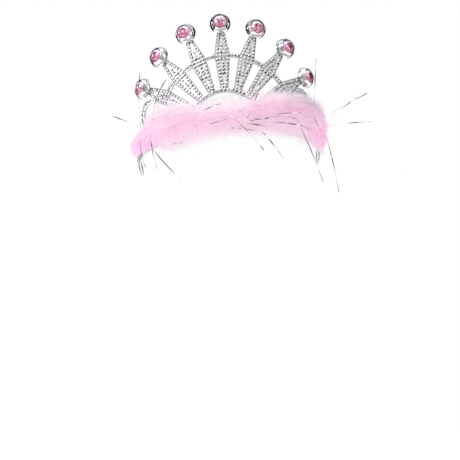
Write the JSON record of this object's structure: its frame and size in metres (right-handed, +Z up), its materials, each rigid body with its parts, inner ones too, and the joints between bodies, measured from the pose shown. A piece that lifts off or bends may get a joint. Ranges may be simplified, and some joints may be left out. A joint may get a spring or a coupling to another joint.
{
  "type": "feather tiara",
  "caption": "Silver plastic tiara with pebbled spikes, pink stones in dome settings, a pink marabou trim and tinsel strands on an open head band.",
  "frame": {"origin": "middle of the inner face of the band at the front, where it sits on the forehead", "axes": "+X to the right as seen from the front, across the head; +Y towards the back of the head; +Z up with the tiara leaning back as it is worn"},
  "size_m": [0.205, 0.11, 0.1479],
  "materials": {
    "silver_plastic": "bright vacuum-metallised plastic with cast imitation stones",
    "setting_silver": "smooth mirror-bright metallised plastic",
    "pink_stone": "cut and polished, foil-backed pink acrylic",
    "marabou": "soft fluffy down, pale pink with whitish tips",
    "tinsel": "thin bright metallised film strands"
  },
  "bodies": {
    "root": {"tiara_frame": "silver_plastic", "setting_1": "setting_silver", "setting_2": "setting_silver", "setting_3": "setting_silver", "setting_4": "setting_silver", "setting_5": "setting_silver", "setting_6": "setting_silver", "setting_7": "setting_silver", "stone_1": "pink_stone", "stone_2": "pink_stone", "stone_3": "pink_stone", "stone_4": "pink_stone", "stone_5": "pink_stone", "stone_6": "pink_stone", "stone_7": "pink_stone", "marabou_trim": "marabou", "tinsel": "tinsel"}
  },
  "joints": []
}
